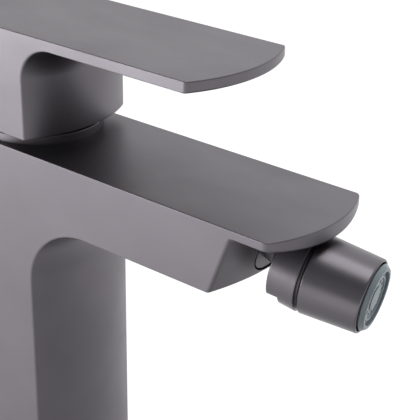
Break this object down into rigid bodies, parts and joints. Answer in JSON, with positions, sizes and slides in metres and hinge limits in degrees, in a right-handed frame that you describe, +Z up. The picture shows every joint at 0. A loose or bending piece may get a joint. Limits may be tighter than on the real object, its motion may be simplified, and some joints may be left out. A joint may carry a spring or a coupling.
{
  "type": "bidet mixer",
  "caption": "Deck-mounted bidet mixer: square column with a flat overhanging spout, a long plate lever over a ceramic cartridge and a ball-jointed nozzle.",
  "frame": {"origin": "on the cartridge axis, at the deck face under the column", "axes": "+X the way the spout points, +Y to the left seen from behind the spout, +Z up"},
  "size_m": [0.1627, 0.052, 0.2054],
  "materials": {
    "satin_graphite": "satin brushed graphite coating on brass",
    "black_rubber": "matt",
    "zinc_steel": "zinc plated",
    "brass": "machined",
    "white_acetal": "moulded",
    "ceramic": "lapped ceramic",
    "aerator_plastic": "moulded, soft"
  },
  "bodies": {
    "fixed": {"body": "satin_graphite", "base_seal": "black_rubber", "fixing_stud": "zinc_steel", "horseshoe_pad": "black_rubber", "horseshoe_plate": "zinc_steel", "fixing_nut": "brass", "cartridge_base": "white_acetal", "port_seals": "black_rubber", "fixed_disc": "ceramic", "cartridge_housing": "white_acetal", "retaining_nut": "brass", "cap_ring": "satin_graphite", "ball_neck": "satin_graphite", "neck_seal": "black_rubber"},
    "cartridge_turret": {"turret": "white_acetal", "pivot_pin": "zinc_steel"},
    "lever": {"lever_stem": "zinc_steel", "lever_handle": "satin_graphite", "grub_screw": "zinc_steel", "screw_plug": "satin_graphite"},
    "sliding_disc": {"disc_carrier": "white_acetal", "moving_disc": "ceramic"},
    "nozzle_swing": {"friction_ring": "white_acetal"},
    "nozzle_nod": {"ball_seal": "black_rubber"},
    "nozzle": {"nozzle_collar": "satin_graphite", "nozzle_sleeve": "satin_graphite", "aerator_housing": "aerator_plastic", "aerator_screen": "zinc_steel", "aerator_grille": "aerator_plastic", "aerator_seal": "black_rubber"}
  },
  "joints": [
    {"name": "lever_swivel", "type": "hinge", "parent": "fixed", "child": "cartridge_turret", "pos_m": [0, 0, 0.131], "axis": [0, 0, 1], "range_deg": [-50, 50]},
    {"name": "lever_lift", "type": "hinge", "parent": "cartridge_turret", "child": "lever", "pos_m": [0, 0, 0.131], "axis": [0, -1, 0], "range_deg": [0, 22]},
    {"name": "disc_slide", "type": "slide", "parent": "cartridge_turret", "child": "sliding_disc", "axis": [1, 0, 0], "range_m": [0, 0.0055]},
    {"name": "nozzle_swing", "type": "hinge", "parent": "fixed", "child": "nozzle_swing", "pos_m": [0.1094, 0, 0.1103], "axis": [0.3584, 0, 0.9336], "range_deg": [-29, 3]},
    {"name": "nozzle_nod", "type": "hinge", "parent": "nozzle_swing", "child": "nozzle_nod", "pos_m": [0.1094, 0, 0.1103], "axis": [-0.21, 0.9744, 0.0806], "range_deg": [-5, 27]},
    {"name": "nozzle_spin", "type": "hinge", "parent": "nozzle_nod", "child": "nozzle", "pos_m": [0.1094, 0, 0.1103], "axis": [0.9613, 0.2208, -0.1646], "continuous": true}
  ],
  "couplings": [
    {"joint": "disc_slide", "follows": "lever_lift", "m_per_rad": 0.014068}
  ]
}
